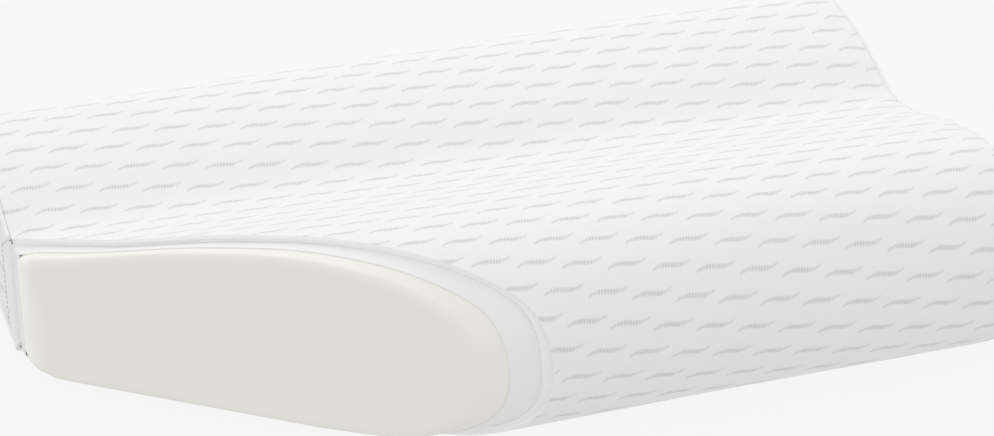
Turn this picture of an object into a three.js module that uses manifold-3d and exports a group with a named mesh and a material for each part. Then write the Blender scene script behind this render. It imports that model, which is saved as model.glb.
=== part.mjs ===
// Contour bed pillow: a moulded wave-shaped foam core in a plain inner liner and a lined knit cover.
// One front corner of the pillow is sliced off at an angle so that every layer can be seen.
// Millimetres, +Z up, +X along the pillow, -Y is the high front lobe. Origin under the middle.
import * as THREE from 'three';
import Module from 'manifold-3d';

const wasm = await Module();
wasm.setup();
const { Manifold, Mesh: ManifoldMesh } = wasm;

// ---- overall size ----
const pillowLength = 500;
const halfLength = pillowLength / 2;

// Cross-section of the outer cover, [depth, height], from the front underside over the top to the back.
const frontLobe = [[-102, 0], [-132, 5], [-150, 23], [-154.3, 57], [-144, 91], [-107, 107.5], [-58, 98.5]];
const valley = [[-13, 82], [20, 76.5], [52, 86]];
const backLobe = [[89, 92.5], [117, 91.5], [141, 78], [150.7, 57], [150.7, 25], [142, 8], [120, 0]];
const pointsPerSpan = 3;

// ---- layers, measured inward from the outer surface ----
const knitThickness = 1.4;
const liningDepth = 1.8;
const liningThickness = 1.4;
const linerDepth = 3.6;
const linerThickness = 1.0;
const coreDepth = 5.0;

// ---- ends ----
const wrapEnd = halfLength - 3.0;
const panelInset = 3.0;
const panelThickness = 1.6;
const pipingRadius = 1.3;
const pipingSides = 6;
const linerEnd = halfLength - 2.4;
const coreEnd = linerEnd - linerThickness - 0.4;
const coreEdge = 5.0;

// ---- the angled slice across the front left corner ----
const sliceAngle = THREE.MathUtils.degToRad(54);
const coreSlice = -256.5;
const linerSlice = -243.5;
const coverSlice = -223.5;

// ---- hidden zip along the back ----
const backFace = 150.7;
const zipHeight = 37;
const zipHalfLength = 181;
const zipOpening = 20;
const rowGap = 1.8;
const rowHeight = 2.0;
const rowFront = 0.6;
const rowThickness = 1.6;
const toothPitch = 6;
const toothCount = 58;
const toothDepth = 0.6;
const tapeFront = 1.0;
const tapeThickness = 0.8;
const fit = 0.3;
const sliderLength = 11;
const sliderHeight = 9;
const sliderStart = 165;
const bridgeHalf = 3.2;
const bridgeWidth = 1.8;
const pullLength = 24;
const pullWidth = 7;
const pullThickness = 1.0;

// ---- care label ----
const labelLength = 36;
const labelHeight = 22;
const labelThickness = 0.6;

// Outline of the cover as [depth, height] points.
function outerProfile() {
  const stations = [...frontLobe, ...valley, ...backLobe].map(([y, z]) => new THREE.Vector3(0, y, z));
  const flatStart = stations.length - 4;
  const over = new THREE.CatmullRomCurve3(stations.slice(0, flatStart + 1), false, 'centripetal');
  const under = new THREE.CatmullRomCurve3(stations.slice(flatStart + 1), false, 'centripetal');
  const points = [...over.getPoints(flatStart * pointsPerSpan), ...under.getPoints(2 * pointsPerSpan)];
  const outline = points.map((p) => [p.y, Math.max(p.z, 0)]);
  return outline.filter(([y, z], i) => {
    const [ya, za] = outline[(i + outline.length - 1) % outline.length];
    const [yb, zb] = outline[(i + 1) % outline.length];
    return Math.abs((y - ya) * (zb - z) - (z - za) * (yb - y)) > 0.01;
  });
}

// The outline moved inward by a distance.
function insetProfile(profile, distance) {
  const n = profile.length;
  return profile.map(([y, z], i) => {
    const [ya, za] = profile[(i + n - 1) % n];
    const [yb, zb] = profile[(i + 1) % n];
    const a = new THREE.Vector2(y - ya, z - za).normalize();
    const b = new THREE.Vector2(yb - y, zb - z).normalize();
    const mean = a.clone().add(b).normalize();
    const reach = distance / Math.max(mean.dot(a), 0.5);
    return [y + mean.y * reach, z - mean.x * reach];
  });
}

function manifoldFrom(positions, triangles) {
  return new Manifold(new ManifoldMesh({
    numProp: 3,
    vertProperties: new Float32Array(positions.flat()),
    triVerts: new Uint32Array(triangles.flat()),
  }));
}

// Closed solid from matching rings of points; `loop` joins the last ring to the first.
function solidFromRings(rings, capPlane, loop = false) {
  const n = rings[0].length;
  const positions = rings.flat();
  const triangles = [];
  const last = loop ? rings.length : rings.length - 1;
  for (let r = 0; r < last; r++) {
    const a = r * n;
    const b = ((r + 1) % rings.length) * n;
    for (let i = 0; i < n; i++) {
      const j = (i + 1) % n;
      triangles.push([a + i, b + i, b + j], [a + i, b + j, a + j]);
    }
  }
  if (!loop) {
    const flat = rings[0].map(capPlane).map(([u, v]) => new THREE.Vector2(u, v));
    const faces = THREE.ShapeUtils.triangulateShape(flat, []);
    const turn = Math.sign(THREE.ShapeUtils.area(flat));
    const end = (rings.length - 1) * n;
    for (const [i, j, k] of faces) {
      const same = Math.sign(THREE.ShapeUtils.area([flat[i], flat[j], flat[k]])) === turn;
      const [p, q] = same ? [i, j] : [j, i];
      triangles.push([p, q, k], [end + k, end + q, end + p]);
    }
  }
  const body = manifoldFrom(positions, triangles);
  if (body.volume() > 0) return body;
  return manifoldFrom(positions, triangles.map(([i, j, k]) => [i, k, j]));
}

// The profile run along X, with its end edges eased by `edge`.
function prism(profile, x0, x1, edge = 0) {
  const ring = (outline, x) => outline.map(([y, z]) => [x, y, z]);
  const rings = [];
  if (edge > 0) {
    const small = insetProfile(profile, edge);
    const middle = insetProfile(profile, edge * 0.3);
    rings.push(ring(small, x0), ring(middle, x0 + edge * 0.3), ring(profile, x0 + edge));
    rings.push(ring(profile, x1 - edge), ring(middle, x1 - edge * 0.3), ring(small, x1));
  } else {
    rings.push(ring(profile, x0), ring(profile, x1));
  }
  return solidFromRings(rings, ([, y, z]) => [y, z]);
}

function box(x0, x1, y0, y1, z0, z1) {
  const corners = [[x0, y0], [x1, y0], [x1, y1], [x0, y1]];
  const rings = [z0, z1].map((z) => corners.map(([x, y]) => [x, y, z]));
  return solidFromRings(rings, ([x, y]) => [x, y]);
}

// Everything in front of the slanting vertical plane x = start - y tan(angle).
function cornerCutter(start) {
  const t = Math.tan(sliceAngle);
  const far = 260;
  const corners = [[start - t * far, far], [start + t * far, -far], [-900, -far], [-900, far]];
  const rings = [-30, 180].map((z) => corners.map(([x, y]) => [x, y, z]));
  return solidFromRings(rings, ([x, y]) => [x, y]);
}

// Round cord following the profile in the plane x.
function cordLoop(profile, x, radius) {
  const n = profile.length;
  const rings = profile.map(([y, z], i) => {
    const [ya, za] = profile[(i + n - 1) % n];
    const [yb, zb] = profile[(i + 1) % n];
    const along = new THREE.Vector2(yb - ya, zb - za).normalize();
    return Array.from({ length: pipingSides }, (_, k) => {
      const angle = (k / pipingSides) * Math.PI * 2;
      const out = Math.cos(angle) * radius;
      return [x + Math.sin(angle) * radius, y - along.y * out, z + along.x * out];
    });
  });
  return solidFromRings(rings, null, true);
}

// One row of zip teeth: a strip whose inner edge (towards `side`) is notched.
function teethRow(zBase, side) {
  const start = -(toothCount * toothPitch) / 2;
  const outline = [[start, zBase]];
  const notch = zBase + side * (rowHeight - toothDepth);
  const tip = zBase + side * rowHeight;
  for (let i = 0; i < toothCount; i++) {
    const x = start + i * toothPitch;
    outline.push([x, notch], [x + toothPitch * 0.3, tip], [x + toothPitch * 0.7, tip]);
  }
  outline.push([start + toothCount * toothPitch, notch], [start + toothCount * toothPitch, zBase]);
  const y1 = backFace - rowFront;
  const y0 = y1 - rowThickness;
  const rings = [y0, y1].map((y) => outline.map(([x, z]) => [x, y, z]));
  return solidFromRings(rings, ([x, , z]) => [x, z]);
}

// Round bar along Z.
function bar(x, y, z0, z1, radius, sides) {
  const rings = [z0, z1].map((z) => Array.from({ length: sides }, (_, k) => {
    const angle = (k / sides) * Math.PI * 2;
    return [x + Math.cos(angle) * radius, y + Math.sin(angle) * radius, z];
  }));
  return solidFromRings(rings, ([px, py]) => [px, py]);
}

function geometryFrom(body) {
  const mesh = body.getMesh();
  const source = mesh.vertProperties;
  const positions = new Float32Array(mesh.triVerts.length * 3);
  mesh.triVerts.forEach((v, i) => {
    for (let k = 0; k < 3; k++) positions[i * 3 + k] = source[v * mesh.numProp + k];
  });
  const geometry = new THREE.BufferGeometry();
  geometry.setAttribute('position', new THREE.BufferAttribute(positions, 3));
  geometry.computeVertexNormals();
  return geometry;
}

const group = new THREE.Group();
group.name = 'contour_pillow';

function addPart(name, body, color, roughness, metalness = 0) {
  const material = new THREE.MeshStandardMaterial({ color, roughness, metalness });
  material.name = `${name}_material`;
  const mesh = new THREE.Mesh(geometryFrom(body), material);
  mesh.name = name;
  group.add(mesh);
}

const outer = outerProfile();
const coverCutter = cornerCutter(coverSlice);
const zipSlot = box(-zipHalfLength, zipHalfLength, backFace - 8, backFace + 8,
  zipHeight - zipOpening / 2, zipHeight + zipOpening / 2);

// ---- foam core ----
addPart('foam_core',
  prism(insetProfile(outer, coreDepth), -coreEnd, coreEnd, coreEdge).subtract(cornerCutter(coreSlice)),
  0xdedcd6, 0.95);

// ---- inner liner: a plain sleeve closed at both ends, opened by the slice ----
addPart('inner_liner',
  prism(insetProfile(outer, linerDepth), -linerEnd, linerEnd)
    .subtract(prism(insetProfile(outer, linerDepth + linerThickness), -coreEnd - 0.4, coreEnd + 0.4))
    .subtract(cornerCutter(linerSlice)),
  0xe4e4e4, 0.9);

// ---- cover: smooth lining and knitted face, both wrapped around the profile ----
addPart('cover_lining',
  prism(insetProfile(outer, liningDepth), -wrapEnd, wrapEnd)
    .subtract(prism(insetProfile(outer, liningDepth + liningThickness), -halfLength, halfLength))
    .subtract(coverCutter).subtract(zipSlot),
  0xededed, 0.9);

addPart('cover_wrap',
  prism(outer, -wrapEnd, wrapEnd)
    .subtract(prism(insetProfile(outer, knitThickness), -halfLength, halfLength))
    .subtract(coverCutter).subtract(zipSlot),
  0xf4f4f4, 0.92);

// ---- end panels and the piped seams that join them to the wrap ----
const panelOutline = insetProfile(outer, panelInset);
const pipingPath = insetProfile(outer, pipingRadius);
addPart('end_panel_left',
  prism(panelOutline, -halfLength, -halfLength + panelThickness).subtract(coverCutter), 0xf2f2f2, 0.92);
addPart('end_panel_right',
  prism(panelOutline, halfLength - panelThickness, halfLength), 0xf2f2f2, 0.92);
addPart('end_piping_left',
  cordLoop(pipingPath, -halfLength + pipingRadius, pipingRadius).subtract(coverCutter), 0xf0f0f0, 0.85);
addPart('end_piping_right',
  cordLoop(pipingPath, halfLength - pipingRadius, pipingRadius), 0xf0f0f0, 0.85);

// ---- zip tapes and teeth ----
const tapeY1 = backFace - tapeFront;
const tapeY0 = tapeY1 - tapeThickness;
const lowerBase = zipHeight - rowGap / 2 - rowHeight;
const upperBase = zipHeight + rowGap / 2 + rowHeight;
const slotBottom = zipHeight - zipOpening / 2;
const slotTop = zipHeight + zipOpening / 2;
const tapeEnd = zipHalfLength - fit;
addPart('zip_tape_upper',
  box(-tapeEnd, tapeEnd, tapeY0, tapeY1, upperBase + fit, slotTop - fit), 0xf0f0f0, 0.9);
addPart('zip_tape_lower',
  box(-tapeEnd, tapeEnd, tapeY0, tapeY1, slotBottom + fit, lowerBase - fit), 0xf0f0f0, 0.9);
addPart('zip_teeth_upper', teethRow(upperBase, -1), 0xf6f6f6, 0.4);
addPart('zip_teeth_lower', teethRow(lowerBase, 1), 0xf6f6f6, 0.4);

// ---- zip stops ----
const rowEnd = (toothCount * toothPitch) / 2;
const stopLength = 3;
const rowY1 = backFace - rowFront;
const rowY0 = rowY1 - rowThickness;
const stopX0 = rowEnd + fit;
const stopX1 = rowEnd + fit + stopLength;
addPart('zip_stop_upper', box(stopX0, stopX1, rowY0, rowY1, upperBase - rowHeight, upperBase), 0xc9cbcd, 0.35, 0.8);
addPart('zip_stop_lower', box(stopX0, stopX1, rowY0, rowY1, lowerBase, lowerBase + rowHeight), 0xc9cbcd, 0.35, 0.8);
addPart('zip_end_box', box(-stopX1, -stopX0, rowY0, rowY1, lowerBase, upperBase), 0xc9cbcd, 0.35, 0.8);

// ---- slider: two plates joined by a post between the rows, with a bridge for the pull ----
const plateInner = rowY1 + 0.4;
const plateOuter = plateInner + 1.4;
const innerPlateY1 = rowY0 - 0.35;
const innerPlateY0 = innerPlateY1 - 0.6;
const postHalf = rowGap / 2 - fit;
const s0 = sliderStart - sliderLength / 2;
const s1 = sliderStart + sliderLength / 2;
const pullAxisY = plateOuter + 0.8;
const bridgeY0 = pullAxisY + 0.8;
const bridgeY1 = bridgeY0 + 1.0;
const slider = box(s0, s1, plateInner, plateOuter, zipHeight - sliderHeight / 2, zipHeight + sliderHeight / 2)
  .add(box(s0, s1, innerPlateY0, innerPlateY1, zipHeight - 4, zipHeight + 4))
  .add(box(sliderStart + 1.5, s1 - 0.5, innerPlateY1 - 0.2, plateInner + 0.2, zipHeight - postHalf, zipHeight + postHalf))
  .add(box(sliderStart - bridgeHalf, sliderStart + bridgeHalf, bridgeY0, bridgeY1,
    zipHeight - bridgeWidth / 2, zipHeight + bridgeWidth / 2))
  .add(box(sliderStart - bridgeHalf, sliderStart - bridgeHalf + 1, plateOuter - 0.2, bridgeY0 + 0.2,
    zipHeight - bridgeWidth / 2, zipHeight + bridgeWidth / 2))
  .add(box(sliderStart + bridgeHalf - 1, sliderStart + bridgeHalf, plateOuter - 0.2, bridgeY0 + 0.2,
    zipHeight - bridgeWidth / 2, zipHeight + bridgeWidth / 2));
addPart('zip_slider', slider, 0xcfd1d3, 0.3, 0.85);

// ---- pull: a flat tab with a window, hung on a round bar under the bridge ----
const windowHalf = bridgeWidth / 2 + 0.4;
const windowEnd = 4.4;
const pull = box(sliderStart - pullLength, sliderStart - 0.1, pullAxisY - pullThickness / 2,
  pullAxisY + pullThickness / 2, zipHeight - pullWidth / 2, zipHeight + pullWidth / 2)
  .subtract(box(sliderStart - windowEnd, sliderStart + 1, pullAxisY - 2, pullAxisY + 2,
    zipHeight - windowHalf, zipHeight + windowHalf))
  .subtract(box(sliderStart - pullLength + 2, sliderStart - pullLength + 8, pullAxisY - 2, pullAxisY + 2,
    zipHeight - 1.6, zipHeight + 1.6))
  .add(bar(sliderStart, pullAxisY, zipHeight - pullWidth / 2, zipHeight + pullWidth / 2, pullThickness / 2, 10));
addPart('zip_pull', pull, 0xcfd1d3, 0.3, 0.85);

// ---- care label, sewn into the right seam and lying on the back ----
addPart('care_label',
  box(wrapEnd - 2 - labelLength, wrapEnd - 2, backFace + fit, backFace + fit + labelThickness,
    zipHeight - labelHeight / 2 + 4, zipHeight + labelHeight / 2 + 4),
  0xf7f7f5, 0.8);

export default group;
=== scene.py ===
import math
import bmesh
import bpy
import numpy as np
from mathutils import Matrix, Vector


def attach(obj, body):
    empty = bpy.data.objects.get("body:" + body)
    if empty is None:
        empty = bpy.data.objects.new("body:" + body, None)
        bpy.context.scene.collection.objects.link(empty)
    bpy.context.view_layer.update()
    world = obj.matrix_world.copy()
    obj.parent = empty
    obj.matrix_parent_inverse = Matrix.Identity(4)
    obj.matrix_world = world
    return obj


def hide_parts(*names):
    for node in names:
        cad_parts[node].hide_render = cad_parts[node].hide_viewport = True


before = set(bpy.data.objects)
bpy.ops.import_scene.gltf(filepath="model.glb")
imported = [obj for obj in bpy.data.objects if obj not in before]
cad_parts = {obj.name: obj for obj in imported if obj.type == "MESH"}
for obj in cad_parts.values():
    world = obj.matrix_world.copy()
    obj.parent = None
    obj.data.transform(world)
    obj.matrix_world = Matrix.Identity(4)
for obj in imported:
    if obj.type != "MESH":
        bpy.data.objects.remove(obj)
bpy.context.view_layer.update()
mm = 0.001

# The pillow's outer form: depth and height of the section in mm, from the front underside over the top.
form = {
    "over": [(-102, 0), (-132, 5), (-150, 23), (-154.3, 57), (-144, 91), (-107, 107.5), (-58, 98.5),
             (-13, 82), (20, 76.5), (52, 86), (89, 92.5), (117, 91.5), (141, 78), (150.7, 57)],
    "under": [(150.7, 25), (142, 8), (120, 0)],
    "softening": 6,         # passes that ease the outline
    "halfLength": 250 * mm,
    "sliceAngle": 54,       # degrees between the slice and the pillow's end
    "across": 128,          # grid columns from front to back
    "upright": 8,           # grid rows up the front and the back
    "frontRows": (48 * mm, 68 * mm),    # heights between which those rows lie
    "backRows": (25 * mm, 57 * mm),
    "lengthwise": 96,       # grid columns from end to end
}
slope = math.tan(math.radians(form["sliceAngle"]))


def splineThrough(points, perSpan=24):
    pts = np.array(points, float)
    pts = np.vstack([2 * pts[0] - pts[1], pts, 2 * pts[-1] - pts[-2]])
    line = []
    for a, b, c, d in zip(pts[:-3], pts[1:-2], pts[2:-1], pts[3:]):
        t1 = math.sqrt(np.linalg.norm(b - a))
        t2 = t1 + math.sqrt(np.linalg.norm(c - b))
        t3 = t2 + math.sqrt(np.linalg.norm(d - c))
        for t in np.linspace(t1, t2, perSpan, endpoint=False):
            ab = a + (b - a) * t / t1
            bc = b + (c - b) * (t - t1) / (t2 - t1)
            cd = c + (d - c) * (t - t2) / (t3 - t2)
            abc = ab + (bc - ab) * t / t2
            bcd = bc + (cd - bc) * (t - t1) / (t3 - t1)
            line.append(abc + (bcd - abc) * (t - t1) / (t2 - t1))
    return np.array(line + [pts[-2]])


def makeOutline():
    line = np.vstack([splineThrough(form["over"]), splineThrough(form["under"])]) * mm
    line[:, 1] = np.maximum(line[:, 1], 0)
    loop = np.vstack([line, line[:1]])
    reach = np.r_[0, np.cumsum(np.linalg.norm(np.diff(loop, axis=0), axis=1))]
    steps = np.arange(0, reach[-1], 1 * mm)
    even = np.stack([np.interp(steps, reach, loop[:, k]) for k in (0, 1)], 1)
    for _ in range(form["softening"]):
        even = (np.roll(even, 1, 0) + 2 * even + np.roll(even, -1, 0)) / 4
    along = np.roll(even, -1, 0) - np.roll(even, 1, 0)
    along /= np.linalg.norm(along, axis=1)[:, None]
    return steps, reach[-1], even, np.stack([-along[:, 1], along[:, 0]], 1)


arcSteps, girth, outline, outward = makeOutline()


def sectionAt(arc, depth=0.0):
    place = [np.interp(arc, arcSteps, outline[:, k], period=girth) for k in (0, 1)]
    side = [np.interp(arc, arcSteps, outward[:, k], period=girth) for k in (0, 1)]
    return np.stack([place[k] - depth * side[k] for k in (0, 1)], -1)


def arcWhere(value, low, high, column):
    # the arc length between low and high where the outline's y (0) or z (1) meets a value
    arcs = np.arange(low, high, 0.25 * mm)
    return arcs[np.argmin(np.abs(sectionAt(arcs)[:, column] - value))]


topArc = arcSteps[np.argmax(outline[:, 1])]
frontLow = arcWhere(form["frontRows"][0], 0, topArc, 1)
frontHigh = arcWhere(form["frontRows"][1], 0, topArc, 1)
backHigh = arcWhere(form["backRows"][1], topArc + 200 * mm, topArc + 330 * mm, 1)
backLow = arcWhere(form["backRows"][0], backHigh, backHigh + 60 * mm, 1)
zipArc = arcWhere(37 * mm, backHigh, backLow, 1)


def ringArcs(tee=None):
    # arc lengths around the section, paired over and under so that the ends can be filled with a grid
    n, m = form["across"], form["upright"]
    ease = (1 - np.cos(np.pi * np.arange(n + 1) / n)) / 2
    over = np.arange(frontHigh, backHigh + 0.1 * mm, 0.25 * mm)
    under = np.arange(backLow, girth + frontLow, 0.25 * mm)
    yOver = sectionAt(over)[:, 0]
    yUnder = sectionAt(under)[:, 0]
    top = np.interp(yOver[0] + (yOver[-1] - yOver[0]) * ease, yOver, over)
    low = np.interp(-(yUnder[-1] + (yUnder[0] - yUnder[-1]) * ease), -yUnder, under)
    if tee is not None:
        spot = np.argmin(np.abs(sectionAt(top)[:, 0] - tee))
        top[spot] = np.interp(tee, yOver, over)
        low[spot] = np.interp(-tee, -yUnder, under)
    front = np.linspace(frontLow, frontHigh, m + 1)
    back = np.linspace(backHigh, backLow, m + 1)
    return np.r_[front[:-1], top[:-1], back[:-1], low[::-1][:-1]]


def gridFaces(rows, count, keep=None, closed=False):
    # faces of a tube, ring after ring, and back to the first ring if it is closed
    faces = []
    for j in range(rows if closed else rows - 1):
        after = (j + 1) % rows
        for i in range(count):
            if keep is None or keep(j, i):
                k = (i + 1) % count
                faces.append((j * count + i, after * count + i, after * count + k, j * count + k))
    return faces


def sheetFaces(grid, side=-1, first=0):
    # faces of a grid of point numbers, turned over for the right side
    faces = []
    for i in range(first, grid.shape[0] - 1):
        for j in range(grid.shape[1] - 1):
            quad = (grid[i, j], grid[i, j + 1], grid[i + 1, j + 1], grid[i + 1, j])
            faces.append(quad[::-1] if side > 0 else quad)
    return faces


def capIndex():
    # the ring's point numbers around the border of an end's grid
    n, m = form["across"], form["upright"]
    index = np.zeros((n + 1, m + 1), int)
    for j in range(m + 1):
        index[0, j] = j
        index[n, j] = m + n + (m - j)
    for i in range(1, n):
        index[i, m] = m + i
        index[i, 0] = 2 * m + 2 * n - i
    return index


def startOf(y, sliceAt, end, softness=0.0):
    # where the cut begins at a depth y; the corner with the end can be eased
    cut = sliceAt * mm - slope * y
    if not softness:
        return np.maximum(-end, cut)
    return softness * np.logaddexp(-end / softness, cut / softness)


def meshObject(name, points, faces, uvs=None):
    mesh = bpy.data.meshes.new(name)
    mesh.from_pydata([tuple(p) for p in points], [], [tuple(int(i) for i in f) for f in faces])
    mesh.update()
    if uvs is not None:
        layer = mesh.uv_layers.new(name="cloth")
        loopVerts = np.zeros(len(mesh.loops), int)
        mesh.loops.foreach_get("vertex_index", loopVerts)
        layer.data.foreach_set("uv", np.asarray(uvs)[loopVerts].ravel())
    mesh.shade_smooth()
    obj = bpy.data.objects.new(name, mesh)
    bpy.context.scene.collection.objects.link(obj)
    return obj


def useMaterial(obj, *materials):
    obj.data.materials.clear()
    for material in materials:
        obj.data.materials.append(material)


def applyModifiers(obj):
    graph = bpy.context.evaluated_depsgraph_get()
    mesh = bpy.data.meshes.new_from_object(obj.evaluated_get(graph), preserve_all_data_layers=True,
                                           depsgraph=graph)
    obj.modifiers.clear()
    old = obj.data
    obj.data = mesh
    bpy.data.meshes.remove(old)
    mesh.set_sharp_from_angle(angle=math.radians(50))
    return obj


def thicken(obj, thickness, offset=-1, rim=0, even=False):
    # gives a single layer of cloth its thickness; rim steps to the material of its cut edge
    shell = obj.modifiers.new("shell", "SOLIDIFY")
    shell.thickness = thickness
    shell.offset = offset
    shell.material_offset_rim = rim
    shell.use_even_offset = even
    return applyModifiers(obj)


# Soft swelling of the stuffed cover: a pressure cloth on the whole closed form, read back as offsets.
swelling = {
    "lengthwise": 56,
    "pressure": 3.5,
    "tension": 40,
    "bending": 2,
    "quality": 6,           # solver steps in a frame
    "frames": 20,
    "easing": 4,            # passes that even the offsets around the section
    "wrapCap": 1.6 * mm,
    "endCap": 4.5 * mm,
    "quickBulge": 9 * mm,   # stands in for the ends' bulge when the cloth isn't run
    "seamDip": 1.8 * mm,    # how far the cloth draws in beside an end seam
    "seamReach": 9 * mm,
    "lowRise": 2.2,         # how much more it draws in along the underside
    "flatBelow": 8 * mm,    # height under which the fullness fades, so that the pillow lies flat
    "pucker": 0.28 * mm,    # small gathers along the end seams
    "puckerPitch": 13 * mm,
    "puckerReach": 9 * mm,
    "waver": 0.35 * mm,     # long shallow unevenness of the stuffed cloth
}


def closedForm():
    ring = ringArcs()
    n, m, count = form["across"], form["upright"], len(ring)
    xs = np.linspace(-form["halfLength"], form["halfLength"], swelling["lengthwise"] + 1)
    section = sectionAt(ring, 1 * mm)
    points = [(x, y, z) for x in xs for y, z in section]
    faces = gridFaces(len(xs), count)
    caps = {}
    for side, base in ((-1, 0), (1, (len(xs) - 1) * count)):
        grid = capIndex() + base
        for i in range(1, n):
            for j in range(1, m):
                low, high = np.array(points[grid[i, 0]]), np.array(points[grid[i, m]])
                grid[i, j] = len(points)
                points.append(tuple(low + (high - low) * j / m))
        caps[side] = grid
        faces += sheetFaces(grid, side)
    return ring, xs, np.array(points), faces, caps


def swell():
    ring, xs, points, faces, caps = closedForm()
    count = len(ring)
    moved = points.copy()
    body = meshObject("swellForm", points, faces)
    seam = body.vertex_groups.new(name="seam")
    seam.add(list(range(count)), 1.0, "REPLACE")
    seam.add(list(range((len(xs) - 1) * count, len(xs) * count)), 1.0, "REPLACE")
    cloth = body.modifiers.new("cloth", "CLOTH")
    cloth.settings.use_pressure = True
    cloth.settings.uniform_pressure_force = swelling["pressure"]
    cloth.settings.vertex_group_mass = "seam"
    cloth.settings.effector_weights.gravity = 0
    cloth.settings.tension_stiffness = swelling["tension"]
    cloth.settings.bending_stiffness = swelling["bending"]
    cloth.settings.quality = swelling["quality"]
    cloth.point_cache.frame_start = 1
    cloth.point_cache.frame_end = swelling["frames"]
    for number in range(1, swelling["frames"] + 1):
        bpy.context.scene.frame_set(number)
    graph = bpy.context.evaluated_depsgraph_get()
    result = body.evaluated_get(graph).to_mesh()
    flat = np.zeros(len(result.vertices) * 3)
    result.vertices.foreach_get("co", flat)
    moved = flat.reshape(-1, 3)
    bpy.data.objects.remove(body)
    bpy.context.scene.frame_set(1)
    shift = moved - points
    side = shift[:len(xs) * count].reshape(len(xs), count, 3)
    normal = np.stack([np.interp(ring, arcSteps, outward[:, k], period=girth) for k in (0, 1)], -1)
    lift = (side[:, :, 1] * normal[:, 0] + side[:, :, 2] * normal[:, 1])
    lift = swelling["wrapCap"] * np.tanh(lift / swelling["wrapCap"])
    for _ in range(swelling["easing"]):
        lift = (np.roll(lift, 1, 1) + 2 * lift + np.roll(lift, -1, 1)) / 4
    bulge = {}
    for end, grid in caps.items():
        out = np.abs(shift[grid][:, :, 0])
        bulge[end] = swelling["endCap"] * np.tanh(out / swelling["endCap"])
    order = np.argsort(ring % girth)
    print(f"swelling: wrap {lift.min() / mm:.1f} to {lift.max() / mm:.1f} mm, "
          f"ends {bulge[-1].max() / mm:.1f} mm")
    return (ring % girth)[order], xs, lift[:, order], bulge


swellArcs, swellXs, swellLift, swellBulge = swell()


def liftAt(x, arc):
    # outward offset of the cloth at a place on the wrap, dipping beside the end seams
    x, arc = np.broadcast_arrays(x, arc)
    col = np.interp(x, swellXs, np.arange(len(swellXs)))
    low = np.clip(np.floor(col).astype(int), 0, len(swellXs) - 2)
    part = col - low
    reach = np.r_[swellArcs, swellArcs[0] + girth]
    rows = np.interp(np.mod(arc - swellArcs[0], girth) + swellArcs[0], reach, np.arange(len(reach)))
    rowLow = np.floor(rows).astype(int) % len(swellArcs)
    rowNext = (rowLow + 1) % len(swellArcs)
    share = rows - np.floor(rows)
    here = swellLift[low, rowLow] * (1 - share) + swellLift[low, rowNext] * share
    beyond = swellLift[low + 1, rowLow] * (1 - share) + swellLift[low + 1, rowNext] * share
    lift = here * (1 - part) + beyond * part
    away = form["halfLength"] - np.abs(x)
    flatBase = np.clip(sectionAt(arc)[..., 1] / swelling["flatBelow"], 0, 1)
    dip = swelling["seamDip"] * (1 + swelling["lowRise"] * (1 - flatBase))
    pucker = np.sin(arc * 2 * math.pi / swelling["puckerPitch"] + 2.5 * np.sin(arc * 31) + 9 * np.sign(x))
    lift = lift + swelling["pucker"] * pucker * np.exp(-away / swelling["puckerReach"])
    lift = lift + swelling["waver"] * np.sin(23 * x + 11 * arc) * np.sin(17 * arc - 9 * x + 1)
    return lift * flatBase - dip * np.exp(-(away / swelling["seamReach"]) ** 2)


nearEnds = [0.0, 0.0015, 0.003, 0.006, 0.01, 0.015, 0.021]
fractionsAlong = np.r_[nearEnds, np.linspace(0.028, 0.972, form["lengthwise"] - 13),
                       1 - np.array(nearEnds[::-1])]


def endEase(xs, end, radius):
    # how far a layer draws in towards a rounded end
    into = np.clip(radius - (end - np.abs(xs)), 0, radius)
    return radius - np.sqrt(radius ** 2 - into ** 2)


def surfacePoints(xs, arcs, depth):
    return np.concatenate([xs[..., None], sectionAt(arcs, depth - liftAt(xs, arcs))], -1)


def sideGrid(ring, depth, sliceAt, end, fractions=fractionsAlong, roundness=0.0):
    # points of a layer at a depth below the outer surface, from the slice to the right end
    start = startOf(sectionAt(ring, depth)[:, 0], sliceAt, end)
    xs = start[None, :] + (end - start)[None, :] * fractions[:, None]
    arcs = np.broadcast_to(ring, xs.shape)
    uvs = np.stack([xs, np.where(arcs > zipArc + 1e-6, arcs - girth, arcs)], -1)
    inset = depth + (endEase(xs, end, roundness) if roundness else 0.0)
    return surfacePoints(xs, arcs, inset), uvs


def wireUp(tree):
    # small helpers for one node tree: add a node, do sums
    nodes, links = tree.nodes, tree.links

    def add(kind, **values):
        node = nodes.new(kind)
        for key, value in values.items():
            setattr(node, key, value)
        return node

    def put(socket, value):
        if isinstance(value, (int, float, tuple, list, str)):
            socket.default_value = value
        else:
            links.new(value, socket)

    def sums(operation, *values, clamp=False):
        node = add("ShaderNodeMath", operation=operation, use_clamp=clamp)
        for socket, value in zip(node.inputs, values):
            put(socket, value)
        return node.outputs[0]

    return add, put, sums


def newMaterial(name, roughness, sheen=0.0):
    material = bpy.data.materials.new(name)
    material.use_nodes = True
    shader = material.node_tree.nodes["Principled BSDF"]
    shader.inputs["Roughness"].default_value = roughness
    shader.inputs["Specular IOR Level"].default_value = 0.25
    if sheen:
        shader.inputs["Sheen Weight"].default_value = sheen
        shader.inputs["Sheen Roughness"].default_value = 0.5
    return material, shader, wireUp(material.node_tree)


def clouded(wire, place, colour, mottle, scale, detail):
    # the colour, with faint darker clouds in it
    add, put, sums = wire
    cloud = add("ShaderNodeTexNoise")
    put(cloud.inputs["Vector"], place)
    put(cloud.inputs["Scale"], scale)
    put(cloud.inputs["Detail"], detail)
    tint = add("ShaderNodeMix", data_type="RGBA")
    put(tint.inputs[0], cloud.outputs[0])
    put(tint.inputs[6], colour)
    put(tint.inputs[7], tuple(c * (1 - mottle) for c in colour[:3]) + (1,))
    return tint.outputs[2]


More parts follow.
